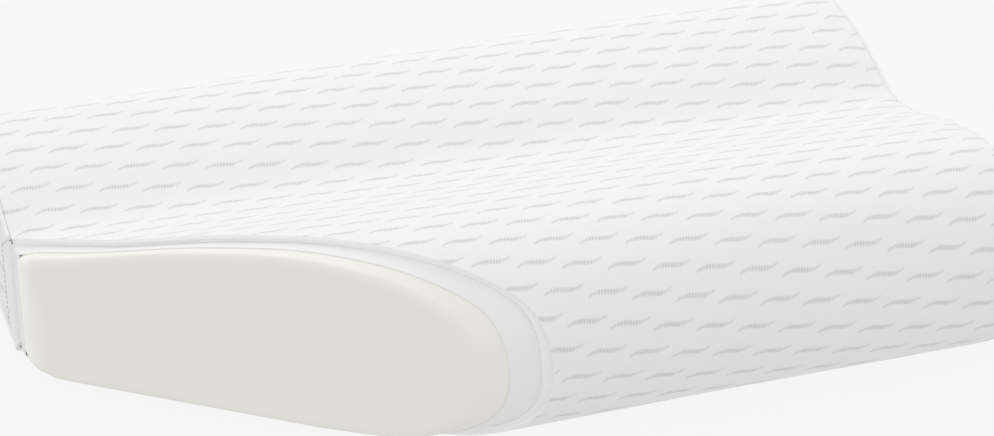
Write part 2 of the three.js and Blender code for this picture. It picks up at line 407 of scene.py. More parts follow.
def grained(wire, place, scale):
    add, put, sums = wire
    grain = add("ShaderNodeTexNoise")
    put(grain.inputs["Vector"], place)
    put(grain.inputs["Scale"], scale)
    put(grain.inputs["Detail"], 5.0)
    return grain.outputs[0]


def blendInto(wire, shader, share, under, over):
    # colours the shader, with one colour laid over another
    add, put, sums = wire
    colour = add("ShaderNodeMix", data_type="RGBA")
    put(colour.inputs[0], share)
    put(colour.inputs[6], under)
    put(colour.inputs[7], over)
    put(shader.inputs["Base Color"], colour.outputs[2])


def raised(wire, shader, height, strength, distance):
    add, put, sums = wire
    bump = add("ShaderNodeBump")
    put(bump.inputs["Strength"], strength)
    put(bump.inputs["Distance"], distance)
    put(bump.inputs["Height"], height)
    put(shader.inputs["Normal"], bump.outputs[0])


# The knit: rows of short wave marks sunk into the white cloth, each a band of upright slits that runs out
# into a tail at either end; their grey is painted shade in the hollows.
knit = {
    "ground": (0.88, 0.88, 0.88, 1),
    # painted shade: the grey laid into the sunken marks stands in for the shade in them
    "recessShade": (0.40, 0.40, 0.40, 1),
    "recessShadeShare": 0.36,           # how strongly the painted shade in the marks shows
    "pitch": 22.9 * mm,         # from mark to mark along a row
    "rowGap": 15.0 * mm,        # from row to row
    "stagger": 0.56,            # share of a pitch that each row steps along
    "turn": -11.9,              # degrees from the pillow's length
    "origin": (-214.5 * mm, 371.4 * mm),
    "halfMark": 10.5 * mm,      # half a mark's length
    "rise": 3.8 * mm,           # how far each tail climbs or drops
    "bandHalf": 5.4 * mm,       # half the length of the slitted middle
    "bandWidth": 1.7 * mm,
    "tailWidth": 1.15 * mm,
    "tailEase": 3 * mm,         # length over which the band turns into a tail
    "tailCurve": 2.6,
    "tailFade": 0.28,
    "tailUneven": 0.08,         # the climbing tail fades by this much more, the dropping one less
    "strokeEdge": 1.1 * mm,     # softness of the stroke's sides and ends
    "endEdge": 1.2 * mm,
    "slitPitch": 1.55 * mm,
    "slitShare": 0.85,          # how much paler a slit is than the band
    "stitch": 1.1 * mm,         # a loop of the knit
    "depth": 0.4 * mm,
}
# On the left end panel the knit is cut back in a step, which bares a strip of plain backing.
panelCut = {"level": 50 * mm, "fall": 0.76, "foot": 50 * mm, "ease": 6 * mm, "from": 19 * mm, "to": 40 * mm}


def knitMaterial(name, step=None):
    material, shader, wire = newMaterial(name, 0.85, 0.1)
    add, put, sums = wire
    place = add("ShaderNodeUVMap", uv_map="cloth")
    parts = add("ShaderNodeSeparateXYZ")
    put(parts.inputs[0], place.outputs[0])
    turn = math.radians(knit["turn"])
    u = sums("SUBTRACT", parts.outputs[0], knit["origin"][0])
    v = sums("SUBTRACT", parts.outputs[1], knit["origin"][1])
    along = sums("ADD", sums("MULTIPLY", u, math.cos(turn)), sums("MULTIPLY", v, math.sin(turn)))
    across = sums("SUBTRACT", sums("MULTIPLY", v, math.cos(turn)), sums("MULTIPLY", u, math.sin(turn)))
    row = sums("ROUND", sums("DIVIDE", across, knit["rowGap"]))
    up = sums("SUBTRACT", across, sums("MULTIPLY", row, knit["rowGap"]))
    stepped = sums("ADD", along, sums("MULTIPLY", row, knit["stagger"] * knit["pitch"]))
    column = sums("ROUND", sums("DIVIDE", stepped, knit["pitch"]))
    run = sums("SUBTRACT", stepped, sums("MULTIPLY", column, knit["pitch"]))
    far = sums("ABSOLUTE", run)
    reach = sums("DIVIDE", run, knit["halfMark"])
    rise = sums("MULTIPLY", sums("MULTIPLY", sums("POWER", sums("ABSOLUTE", reach), knit["tailCurve"]),
                                 sums("SIGN", run)), knit["rise"])
    tail = sums("DIVIDE", sums("SUBTRACT", far, knit["bandHalf"] - 1 * mm), knit["tailEase"], clamp=True)
    width = sums("SUBTRACT", knit["bandWidth"], sums("MULTIPLY", tail, knit["bandWidth"] - knit["tailWidth"]))
    gap = sums("SUBTRACT", width, sums("ABSOLUTE", sums("SUBTRACT", up, rise)))
    stroke = sums("DIVIDE", gap, knit["strokeEdge"], clamp=True)
    ends = sums("DIVIDE", sums("SUBTRACT", knit["halfMark"], far), knit["endEdge"], clamp=True)
    thinner = sums("ADD", knit["tailFade"], sums("MULTIPLY", sums("SIGN", run), knit["tailUneven"]))
    fade = sums("SUBTRACT", 1.0, sums("MULTIPLY", tail, thinner))
    mark = sums("MULTIPLY", sums("MULTIPLY", stroke, ends), fade)
    if step:
        away = sums("DIVIDE", sums("SUBTRACT", step["foot"], parts.outputs[0]), step["ease"])
        climb = sums("LOGARITHM", sums("ADD", sums("EXPONENT", away), 1.0), math.e)
        line = sums("ADD", sums("MULTIPLY", climb, step["fall"] * step["ease"]), step["level"])
        above = sums("GREATER_THAN", parts.outputs[1], line)
        beyond = sums("GREATER_THAN", parts.outputs[0], step["to"])
        mark = sums("MULTIPLY", mark, sums("MAXIMUM", above, beyond))
    wave = sums("COSINE", sums("MULTIPLY", run, 2 * math.pi / knit["slitPitch"]))
    slit = sums("MULTIPLY", sums("SUBTRACT", 1.0, wave), sums("MULTIPLY", sums("SUBTRACT", 1.0, tail), 0.5))
    # painted shade: the marks are darkened, less so at the slits, and also sunk by the bump below
    dark = sums("MULTIPLY", mark, sums("SUBTRACT", 1.0, sums("MULTIPLY", slit, knit["slitShare"])))
    tint = clouded(wire, place.outputs[0], knit["ground"], 0.025, 38.0, 3.0)
    blendInto(wire, shader, sums("MULTIPLY", dark, knit["recessShadeShare"]), tint, knit["recessShade"])
    loops = sums("MULTIPLY", sums("SINE", sums("MULTIPLY", parts.outputs[0], 2 * math.pi / knit["stitch"])),
                 sums("SINE", sums("MULTIPLY", parts.outputs[1], 2 * math.pi / (knit["stitch"] * 0.8))))
    height = sums("ADD", sums("MULTIPLY", dark, -1.0), sums("MULTIPLY", loops, 0.05))
    raised(wire, shader, height, 1.0, knit["depth"])
    return material


def softMaterial(name, colour, roughness, grain, relief, sheen=0.1, mottle=0.03):
    # plain soft finish: slight colour clouds and a fine grain
    material, shader, wire = newMaterial(name, roughness, sheen)
    add, put, sums = wire
    place = add("ShaderNodeTexCoord").outputs["Object"]
    put(shader.inputs["Base Color"], clouded(wire, place, colour, mottle, 22.0, 4.0))
    raised(wire, shader, grained(wire, place, grain), 0.5, relief)
    return material


knitCloth = knitMaterial("whiteJacquardKnit")
panelCloths = {"Left": knitMaterial("endPanelKnitLeft", panelCut), "Right": knitMaterial("endPanelKnitRight")}
knitEdge = softMaterial("knitCutEdge", (0.93, 0.93, 0.93, 1), 0.9, 900, 0.2 * mm)
liningCloth = softMaterial("smoothLining", (0.9, 0.9, 0.9, 1), 0.9, 700, 0.25 * mm)
linerCloth = softMaterial("plainLiner", (0.875, 0.875, 0.875, 1), 0.9, 1100, 0.2 * mm)
foam = {
    "colour": (0.895, 0.877, 0.838, 1),
    "rim": (0.965, 0.96, 0.915, 1),     # painted highlight on the corner where the cut meets the end
    "pore": 0.9 * mm,
}


def foamMaterial():
    material, shader, wire = newMaterial("mouldedFoam", 0.95)
    add, put, sums = wire
    place = add("ShaderNodeTexCoord").outputs["Object"]
    # painted highlight: the rim attribute paints the foam paler near its left corner
    rim = add("ShaderNodeAttribute", attribute_name="rim")
    tint = clouded(wire, place, foam["colour"], 0.03, 18.0, 4.0)
    blendInto(wire, shader, rim.outputs["Fac"], tint, foam["rim"])
    cells = add("ShaderNodeTexVoronoi", feature="F1")
    put(cells.inputs["Vector"], place)
    put(cells.inputs["Scale"], 1 / foam["pore"])
    height = sums("ADD", cells.outputs["Distance"], grained(wire, place, 500.0))
    raised(wire, shader, height, 0.5, 0.15 * mm)
    return material


foamSkin = foamMaterial()
# painted shade: the panel's thread is white, painted grey to stand in for the shade round its stitches
paintedShadeThread = softMaterial("panelThread", (0.6, 0.6, 0.6, 1), 0.8, 2400, 0.15 * mm)
seamThread = softMaterial("seamThread", (0.86, 0.86, 0.86, 1), 0.8, 2400, 0.15 * mm)
tapeCloth = softMaterial("zipTape", (0.86, 0.86, 0.86, 1), 0.9, 1600, 0.2 * mm)
toothPlastic = softMaterial("zipTeeth", (0.88, 0.88, 0.88, 1), 0.45, 300, 0.05 * mm, 0.0)
pipingCloth = softMaterial("pipingCloth", (0.9, 0.9, 0.9, 1), 0.85, 1500, 0.2 * mm)
labelCloth = softMaterial("labelRibbon", (0.9, 0.9, 0.88, 1), 0.6, 1800, 0.1 * mm)


def metalMaterial():
    material, shader, wire = newMaterial("satinMetal", 0.32)
    add, put, sums = wire
    shader.inputs["Metallic"].default_value = 1.0
    stretch = add("ShaderNodeMapping")
    put(stretch.inputs[0], add("ShaderNodeTexCoord").outputs["Object"])
    put(stretch.inputs["Scale"], (120, 900, 900))
    grain = add("ShaderNodeTexNoise")
    put(grain.inputs["Vector"], stretch.outputs[0])
    put(grain.inputs["Scale"], 1.0)
    blendInto(wire, shader, grain.outputs[0], (0.62, 0.62, 0.63, 1), (0.5, 0.5, 0.51, 1))
    raised(wire, shader, grain.outputs[0], 0.25, 0.03 * mm)
    return material


brushedMetal = metalMaterial()
print("materials made")

zipPlace = {"height": 37 * mm, "halfLength": 181 * mm, "opening": 20 * mm}
coverSlice = {
    "slice": -223.5,        # in mm, where the cut crosses the pillow's middle line
    "end": 247.4 * mm,
    "turnFrom": 40 * mm,    # how far past the front face the cut edge starts to turn out
    "turnOver": 60 * mm,
}


def wrapObject(name, depth, thickness, materials, proud=0.0, recess=0.0):
    # an open tube of cloth around the section, sliced at the left and slotted for the zip
    sliceAt = coverSlice["slice"]
    ring = ringArcs((sliceAt * mm + coverSlice["end"]) / slope)
    rows = len(fractionsAlong)
    fractions = fractionsAlong.copy()
    for edge in (-1, 1):
        share = (zipPlace["halfLength"] * edge + coverSlice["end"]) / (2 * coverSlice["end"])
        fractions[np.argmin(np.abs(fractions - share))] = share
    lowSlot = arcWhere(zipPlace["height"] + zipPlace["opening"] / 2, backHigh, backLow, 1)
    highSlot = arcWhere(zipPlace["height"] - zipPlace["opening"] / 2, backHigh, backLow, 1)
    for arc in (lowSlot, zipArc, highSlot):
        ring[np.argmin(np.abs(ring - arc))] = arc
    points, uvs = sideGrid(ring, depth, sliceAt, coverSlice["end"], fractions)
    # at the front the cut edge turns outward and shows; over the top it lies back a little
    arcs = np.where(ring > zipArc, ring - girth, ring)
    turnFrom, turnOver = coverSlice["turnFrom"], coverSlice["turnOver"]
    front = np.clip((frontHigh + turnFrom - arcs) / turnOver, 0, 1)
    front *= np.clip((arcs - frontLow) / turnFrom + 1, 0, 1)
    points[:, :, 0] -= (front * (proud + recess) - recess) * (1 - fractions[:, None]) ** 8

    def keep(j, i):
        inArc = lowSlot - 1e-6 <= ring[i] < highSlot - 1e-6
        middle = (points[j, i, 0] + points[j + 1, i, 0]) / 2
        return not (inArc and abs(middle) < zipPlace["halfLength"])

    obj = meshObject(name, points.reshape(-1, 3), gridFaces(rows, len(ring), keep), uvs.reshape(-1, 2))
    fixSeamUvs(obj)
    useMaterial(obj, *materials)
    return thicken(obj, thickness, rim=1, even=True)


def fixSeamUvs(obj):
    # the faces just under the zip start from the arc length of the cloth's other edge
    layer = obj.data.uv_layers["cloth"]
    uv = np.zeros(len(obj.data.loops) * 2)
    layer.data.foreach_get("uv", uv)
    uv = uv.reshape(-1, 2)
    for face in obj.data.polygons:
        loops = list(face.loop_indices)
        spread = uv[loops, 1]
        if spread.max() - spread.min() > girth / 2:
            uv[loops, 1] = np.where(spread > 0, spread - girth, spread)
    layer.data.foreach_set("uv", uv.ravel())


coverWrap = wrapObject("coverWrap", 0.0, 1.9 * mm, (knitCloth, knitEdge))
coverLining = wrapObject("coverLining", 1.9 * mm, 1.9 * mm, (liningCloth, knitEdge), 3.0 * mm, 0.5 * mm)
print("cover wrap and lining made")


def capGrid(section, end, sliceAt, side, bulgeShare):
    # fills an end: columns from front to back, rows from bottom to top
    n, m = form["across"], form["upright"]
    index = capIndex()
    points = np.zeros((n + 1, m + 1, 3))
    for i in range(n + 1):
        low, high = section[index[i, 0]], section[index[i, m]]
        for j in range(m + 1):
            points[i, j, 1:] = section[index[i, j]] if i in (0, n) else low + (high - low) * j / m
    flat = end + swellBulge[side] * bulgeShare
    points[:, :, 0] = side * flat
    if side < 0:
        points[:, :, 0] = np.maximum(-flat, sliceAt * mm - slope * points[:, :, 1])
    return points, index


def joinCap(points, cap, grid, side, first=0):
    # adds a cap's inner points and returns its faces, turned outward
    n, m = form["across"], form["upright"]
    grid = grid.copy()
    for i in range(max(first, 1), n):
        for j in range(1, m):
            grid[i, j] = len(points)
            points.append(cap[i, j])
    return sheetFaces(grid, side, first)


coreShape = {
    "depth": 4.4 * mm,
    "slice": -256.5,
    "end": 246.9 * mm,
    "edgeRadius": 4.2 * mm,     # rounding around the cut face
    "edgeSteps": 4,
    "endRadius": 0.8 * mm,      # rounding of the ends
    "cornerSoftness": 3.0 * mm,
    "highlightReach": 4.5 * mm,      # how far from the left end the painted highlight reaches
    "highlightFade": 3.0 * mm,
}


def makeCore():
    ring = ringArcs((coreShape["slice"] * mm + coreShape["end"]) / slope)
    count, finish, soft = len(ring), coreShape["end"], coreShape["cornerSoftness"]
    radius, steps, depth = coreShape["edgeRadius"], coreShape["edgeSteps"], coreShape["depth"]

    def place(xs, inset):
        return surfacePoints(xs, ring, inset + endEase(xs, finish, coreShape["endRadius"]))

    def cutAt(inset):
        xs = startOf(sectionAt(ring, inset)[:, 0], coreShape["slice"], finish, soft)
        for _ in range(4):
            xs = startOf(place(xs, inset)[:, 1], coreShape["slice"], finish, soft)
        return xs

    rings = [(cutAt(depth + radius + mm), depth + radius + mm)]
    for k in range(steps):
        angle = math.pi / 2 * k / steps
        inset = depth + radius * (1 - math.sin(angle))
        rings.append((cutAt(inset) + radius * (1 - math.cos(angle)), inset))
    start = cutAt(depth) + radius
    for share in fractionsAlong:
        rings.append((start + (finish - start) * share, depth))
    points = [p for xs, inset in rings for p in place(xs, inset)]
    faces = gridFaces(len(rings), count)
    for side, base in ((-1, 0), (1, (len(rings) - 1) * count)):
        edge = np.array(points[base:base + count])
        cap, index = capGrid(edge[:, 1:], finish, coreShape["slice"], side, 0)
        if side < 0:
            cap[:, :, 0] = startOf(cap[:, :, 1], coreShape["slice"], finish, soft)
        faces += joinCap(points, cap, index + base, side)
    obj = meshObject("foamCore", points, faces)
    # painted highlight: the foam is painted paler towards its left end, where the cut meets the end
    paler = np.clip((coreShape["highlightReach"] - finish - np.array(points)[:, 0]) / coreShape["highlightFade"], 0, 1)
    obj.data.attributes.new("rim", "FLOAT", "POINT").data.foreach_set("value", paler)
    return obj


foamCore = makeCore()
useMaterial(foamCore, foamSkin)
print("foam core made")

linerShape = {"depth": 3.85 * mm, "slice": -240.0, "end": 247.3 * mm, "thickness": 0.5 * mm,
              "endRadius": 1.0 * mm}


def makeLiner():
    tee = (linerShape["slice"] * mm + linerShape["end"]) / slope
    ring = ringArcs(tee)
    m, count = form["upright"], len(ring)
    body, _ = sideGrid(ring, linerShape["depth"], linerShape["slice"], linerShape["end"],
                       roundness=linerShape["endRadius"])
    points = [p for r in body for p in r]
    faces = gridFaces(len(body), count)
    for side, base in ((-1, 0), (1, (len(body) - 1) * count)):
        edge = np.array(points[base:base + count])
        cap, index = capGrid(edge[:, 1:], linerShape["end"], linerShape["slice"], side, 0)
        first = int(np.argmin(np.abs(cap[:, m, 1] - tee))) if side < 0 else 0
        faces += joinCap(points, cap, index + base, side, first)
    obj = meshObject("innerLiner", points, faces)
    useMaterial(obj, linerCloth)
    return thicken(obj, linerShape["thickness"])


innerLiner = makeLiner()
print("inner liner made")

panelShape = {
    "depth": 2.3 * mm,
    "end": 248.9 * mm,
    "thickness": 1.6 * mm,
    "flatNearSlice": 60 * mm,   # the panel lies flat at its cut edge and swells beyond it
}


def makePanel(name, side):
    tee = (coverSlice["slice"] * mm + panelShape["end"]) / slope
    ring = ringArcs(tee)
    m = form["upright"]
    edge = surfacePoints(np.full(len(ring), side * panelShape["end"]), ring, panelShape["depth"])
    cap, _ = capGrid(edge[:, 1:], panelShape["end"], -1e6, side, 1.0)
    first = 0
    if side < 0:
        first = int(np.argmin(np.abs(cap[:, m, 1] - tee)))
        near = np.clip((cap[:, :, 1] - tee) / panelShape["flatNearSlice"], 0, 1)
        cap[:, :, 0] = -panelShape["end"] + (cap[:, :, 0] + panelShape["end"]) * near * near * (3 - 2 * near)
    rows = cap[first:]
    points = rows.reshape(-1, 3)
    faces = sheetFaces(np.arange(len(points)).reshape(-1, m + 1), side)
    uvs = np.stack([points[:, 1], points[:, 2]], -1)
    obj = meshObject(name, points, faces, uvs)
    useMaterial(obj, panelCloths["Left" if side < 0 else "Right"], knitEdge)
    return thicken(obj, panelShape["thickness"], rim=1)


endPanelLeft = makePanel("endPanelLeft", -1)
endPanelRight = makePanel("endPanelRight", 1)
print("end panels made")

# Piping: a covered cord along each end seam, cut off by the slice on the left.
piping = {"radius": 1.35 * mm, "depth": 0.9 * mm, "end": 248.6 * mm, "sides": 10}


def makePiping(name, side):
    ring = np.linspace(0, girth, 361)[:-1]
    xs = np.full(len(ring), side * piping["end"])
    centre = surfacePoints(xs, ring, piping["depth"])
    kept = centre[:, 0] >= coverSlice["slice"] * mm - slope * centre[:, 1]
    if side < 0:
        first = int(np.argmax(kept & ~np.roll(kept, 1)))
        centre, kept = np.roll(centre, -first, 0), np.roll(kept, -first)
        centre = centre[kept]
    closed = side > 0
    along = np.roll(centre, -1, 0) - np.roll(centre, 1, 0)
    if not closed:
        along[0], along[-1] = centre[1] - centre[0], centre[-1] - centre[-2]
    along /= np.linalg.norm(along, axis=1)[:, None]
    across = np.stack([0 * along[:, 0], -along[:, 2], along[:, 1]], -1)
    points, count = [], piping["sides"]
    for spot, direction in zip(centre, across):
        for k in range(count):
            angle = 2 * math.pi * k / count
            reach = direction * math.cos(angle) + np.array([math.sin(angle), 0, 0])
            points.append(spot + reach * piping["radius"])
    rows = len(centre)
    faces = gridFaces(rows, count, closed=closed)
    if not closed:
        faces += [tuple(range(count)), tuple((rows - 1) * count + k for k in reversed(range(count)))]
    obj = meshObject(name, points, faces)
    fixNormals(obj)
    useMaterial(obj, pipingCloth)
    return obj


def fixNormals(obj):
    work = bmesh.new()
    work.from_mesh(obj.data)
    bmesh.ops.recalc_face_normals(work, faces=work.faces)
    work.to_mesh(obj.data)
    work.free()


pipingLeft = makePiping("pipingLeft", -1)
pipingRight = makePiping("pipingRight", 1)
print("piping made")


def newTree(name, inputs):
    # a Geometry Nodes tree with named inputs: a number, a place, a mesh or a material each
    kinds = {float: "NodeSocketFloat", int: "NodeSocketInt", tuple: "NodeSocketVector"}
    tree = bpy.data.node_groups.new(name, "GeometryNodeTree")
    for label, value in inputs.items():
        kind = value if isinstance(value, str) else kinds[type(value)]
        socket = tree.interface.new_socket(label, in_out="INPUT", socket_type=kind)
        if not isinstance(value, str):
            socket.default_value = value
    tree.interface.new_socket("Result", in_out="OUTPUT", socket_type="NodeSocketGeometry")
    return tree, wireUp(tree)


def endTree(wire, placed, material):
    # makes the instances real and gives them their material
    add, put, sums = wire
    real = add("GeometryNodeRealizeInstances")
    paint = add("GeometryNodeSetMaterial")
    put(real.inputs[0], placed)
    put(paint.inputs["Geometry"], real.outputs[0])
    put(paint.inputs["Material"], material)
    put(add("NodeGroupOutput").inputs[0], paint.outputs[0])


def stitchTree():
    # stitches along the edges of a line mesh: short rounded threads, set end to end with a gap
    tree, wire = newTree("stitchRow", {"Line": "NodeSocketGeometry", "Pitch": 3 * mm, "Length": 2 * mm,
                                       "Radius": 0.3 * mm, "Thread": "NodeSocketMaterial"})
    add, put, sums = wire
    given = add("NodeGroupInput").outputs
    curve = add("GeometryNodeMeshToCurve")
    put(curve.inputs[0], given["Line"])
    spaced = add("GeometryNodeResampleCurve", mode="LENGTH")
    put(spaced.inputs["Curve"], curve.outputs[0])
    put(spaced.inputs["Length"], given["Pitch"])
    thread = add("GeometryNodeMeshIcoSphere")
    put(thread.inputs["Subdivisions"], 2)
    size = add("ShaderNodeCombineXYZ")
    put(size.inputs[0], sums("MULTIPLY", given["Length"], 0.5))
    put(size.inputs[1], given["Radius"])
    put(size.inputs[2], given["Radius"])
    shape = add("GeometryNodeTransform")
    put(shape.inputs["Geometry"], thread.outputs["Mesh"])
    put(shape.inputs["Scale"], size.outputs[0])
    turn = add("FunctionNodeAlignRotationToVector", axis="X")
    put(turn.inputs["Vector"], add("GeometryNodeInputTangent").outputs[0])
    wobble = add("FunctionNodeRandomValue", data_type="FLOAT_VECTOR")
    put(wobble.inputs["Min"], (0.92, 0.9, 0.9))
    put(wobble.inputs["Max"], (1.06, 1.1, 1.1))
    put(wobble.inputs["Seed"], 4)
    place = add("GeometryNodeInstanceOnPoints")
    put(place.inputs["Points"], spaced.outputs[0])
    put(place.inputs["Instance"], shape.outputs[0])
    put(place.inputs["Rotation"], turn.outputs[0])
    put(place.inputs["Scale"], wobble.outputs[0])
    endTree(wire, place.outputs[0], given["Thread"])
    return tree


def grow(obj, tree, **values):
    # runs a Geometry Nodes tree on an object with these inputs and keeps the plain mesh
    modifier = obj.modifiers.new("grow", "NODES")
    modifier.node_group = tree
    for item in tree.interface.items_tree:
        if item.item_type == "SOCKET" and item.in_out == "INPUT" and item.name in values:
            modifier[item.identifier] = values[item.name]
    return applyModifiers(obj)


stitching = stitchTree()
thread = {"pitch": 3.2 * mm, "length": 2.5 * mm, "radius": 0.32 * mm}


def stitchRow(name, lines, material=None, pitch=None, length=None, radius=None):
    points, edges = [], []
    for line in lines:
        edges += [(len(points) + k, len(points) + k + 1) for k in range(len(line) - 1)]
        points += [tuple(p) for p in line]
    mesh = bpy.data.meshes.new(name)
    mesh.from_pydata(points, edges, [])
    obj = bpy.data.objects.new(name, mesh)
    bpy.context.scene.collection.objects.link(obj)
    return grow(obj, stitching, Pitch=pitch or thread["pitch"], Length=length or thread["length"],
                Radius=radius or thread["radius"], Thread=material or seamThread)


# Topstitching on the wrap beside each end seam, and thread along the left panel's step.
topstitch = {
    "fromEnd": 2.9 * mm,
    "lift": 0.02 * mm,
    "radius": 0.22 * mm,
    "leftFrom": 260 * mm,       # arc length where the left row comes out of the slice
    "leftTo": zipArc - 2 * mm,
}


def wrapLine(x, fromArc, toArc, slicedBy=None):
    arcs = np.arange(fromArc, toArc, 1.5 * mm)
    xs = np.full(len(arcs), x)
    points = surfacePoints(xs, arcs, -topstitch["lift"])
    if slicedBy is not None:
        keep = points[:, 0] > slicedBy * mm - slope * points[:, 1] + 1 * mm
        points = points[keep]
    return points


def onLeftPanel(y, z):
    found, spot, _, _ = endPanelLeft.ray_cast((-400 * mm, y, z), (1, 0, 0))
    return (spot.x - 0.1 * mm, spot.y, spot.z) if found else None


def panelCutLine():
    # along the top of the step, then down its far side
    spots = []
    for y in np.arange(panelCut["from"] + mm, panelCut["to"], 2 * mm):
        climb = math.log(1 + math.exp((panelCut["foot"] - y) / panelCut["ease"]))
        spots.append((y, panelCut["level"] + panelCut["fall"] * panelCut["ease"] * climb))
    spots += [(panelCut["to"], z) for z in np.arange(spots[-1][1] - 2 * mm, 8 * mm, -2 * mm)]
    found = [onLeftPanel(y, z) for y, z in spots]
    return [spot for spot in found if spot]


seamStitchesLeft = stitchRow("seamStitchesLeft", [
    wrapLine(-form["halfLength"] + topstitch["fromEnd"], topstitch["leftFrom"], topstitch["leftTo"],
             coverSlice["slice"])],
    radius=topstitch["radius"])
seamStitchesRight = stitchRow("seamStitchesRight", [
    wrapLine(form["halfLength"] - topstitch["fromEnd"], 0.0, girth)],
    radius=topstitch["radius"])
panelStitchesLeft = stitchRow("panelStitchesLeft", [panelCutLine()], paintedShadeThread)
print("seams stitched")

# Zip: woven tapes either side of the slot, moulded teeth, metal slider, pull and stops.
zipShape = {
    "tapeTop": 46.2 * mm, "tapeLow": 27.8 * mm, "tapeEnd": 180.4 * mm,
    "gap": 0.4 * mm, "tapeDepth": 1.0 * mm, "tapeThickness": 0.8 * mm,
    "rowEnd": 173.6 * mm,
    "toothPitch": 3.0 * mm, "toothLength": 1.7 * mm, "toothHeight": 2.3 * mm, "toothDepth": 1.5 * mm,
    "rowDepth": 0.6 * mm,
    "stitchEnd": 183 * mm, "stitchRise": 13.2 * mm,
}
backFace = max(outline[:, 0])


def makeTape(name, low, high):
    xs = np.linspace(-zipShape["tapeEnd"], zipShape["tapeEnd"], 181)
    zs = np.linspace(low, high, 7)
    points, uvs = [], []
    for x in xs:
        for z in zs:
            share = (z - low) / (high - low)
            wave = 0.15 * mm * math.sin(x * 90 + z * 200) * math.sin(math.pi * share)
            points.append((x, backFace - zipShape["tapeDepth"] + wave, z))
            uvs.append((x, z))
    faces = sheetFaces(np.arange(len(points)).reshape(len(xs), -1))
    obj = meshObject(name, points, faces, uvs)
    useMaterial(obj, tapeCloth)
    return thicken(obj, zipShape["tapeThickness"])


zipMiddle = zipPlace["height"]
tapeUpper = makeTape("tapeUpper", zipMiddle + zipShape["gap"], zipShape["tapeTop"])
tapeLower = makeTape("tapeLower", zipShape["tapeLow"], zipMiddle - zipShape["gap"])


def teethTree():
    # one row of teeth: a small eased block repeated along a straight line
    tree, wire = newTree("toothRow", {"Tooth": "NodeSocketGeometry", "Count": 10, "Pitch": 3 * mm,
                                      "Start": (0, 0, 0), "Plastic": "NodeSocketMaterial"})
    add, put, sums = wire
    given = add("NodeGroupInput").outputs
    step = add("ShaderNodeCombineXYZ")
    put(step.inputs[0], given["Pitch"])
    line = add("GeometryNodeMeshLine")
    put(line.inputs["Count"], given["Count"])
    put(line.inputs["Start Location"], given["Start"])
    put(line.inputs["Offset"], step.outputs[0])
    place = add("GeometryNodeInstanceOnPoints")
    put(place.inputs["Points"], line.outputs[0])
    put(place.inputs["Instance"], given["Tooth"])
    endTree(wire, place.outputs[0], given["Plastic"])
    return tree


toothRows = teethTree()


def easedBlock(name, low, high, radius):
    # a closed block with rounded edges between two corners
    work = bmesh.new()
    bmesh.ops.create_cube(work, size=1)
    for vert in work.verts:
        for axis in range(3):
            vert.co[axis] = high[axis] if vert.co[axis] > 0 else low[axis]
    bmesh.ops.bevel(work, geom=work.edges[:], offset=radius, segments=1, affect="EDGES")
    mesh = bpy.data.meshes.new(name)
    work.to_mesh(mesh)
    work.free()
    mesh.shade_smooth()
    obj = bpy.data.objects.new(name, mesh)
    bpy.context.scene.collection.objects.link(obj)
    return obj


def makeTeeth(name, up):
    length, height, depth = zipShape["toothLength"], zipShape["toothHeight"], zipShape["toothDepth"]
    overlap = 0.5 * mm
    low = -overlap if up > 0 else -height + overlap
    front = backFace + zipShape["rowDepth"]
    tooth = easedBlock(name, (-length / 2, front - depth, zipMiddle + low),
                       (length / 2, front, zipMiddle + low + height), 0.35 * mm)
    count = int(2 * zipShape["rowEnd"] / zipShape["toothPitch"])
    shift = 0 if up > 0 else zipShape["toothPitch"] / 2
    start = -(count - 1) / 2 * zipShape["toothPitch"] + shift - zipShape["toothPitch"] / 4
    return grow(tooth, toothRows, Count=count, Pitch=zipShape["toothPitch"], Start=(start, 0, 0),
                Plastic=toothPlastic)


teethUpper = makeTeeth("teethUpper", 1)
teethLower = makeTeeth("teethLower", -1)
tapeStitches = stitchRow("tapeStitches", [
    [(x, backFace + 0.1 * mm, zipMiddle + side * zipShape["stitchRise"])
     for x in np.linspace(-zipShape["stitchEnd"], zipShape["stitchEnd"], 120)] for side in (-1, 1)])


def refined(node, name, width, material):
    # a CAD solid with its edges eased
    obj = bpy.data.objects.new(name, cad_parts[node].data.copy())
    bpy.context.scene.collection.objects.link(obj)
    work = bmesh.new()
    work.from_mesh(obj.data)
    bmesh.ops.remove_doubles(work, verts=work.verts, dist=1e-6)
    bmesh.ops.recalc_face_normals(work, faces=work.faces)
    work.to_mesh(obj.data)
    work.free()
    ease = obj.modifiers.new("ease", "BEVEL")
    ease.width = width
    ease.segments = 2
    ease.limit_method = "ANGLE"
    ease.angle_limit = math.radians(35)
    applyModifiers(obj)
    obj.data.shade_smooth()
    obj.data.set_sharp_from_angle(angle=math.radians(45))
    useMaterial(obj, material)
    return obj


slider = refined("zip_slider", "slider", 0.5 * mm, brushedMetal)
pull = refined("zip_pull", "pull", 0.3 * mm, brushedMetal)
stopUpper = refined("zip_stop_upper", "stopUpper", 0.3 * mm, brushedMetal)
stopLower = refined("zip_stop_lower", "stopLower", 0.3 * mm, brushedMetal)
endBox = refined("zip_end_box", "endBox", 0.3 * mm, brushedMetal)
print("zip made")

# Care label: a blank ribbon sewn along its upper edge, its free edge a little proud.
labelShape = {"left": 209 * mm, "right": 245 * mm, "low": 30 * mm, "high": 52 * mm, "thickness": 0.4 * mm}


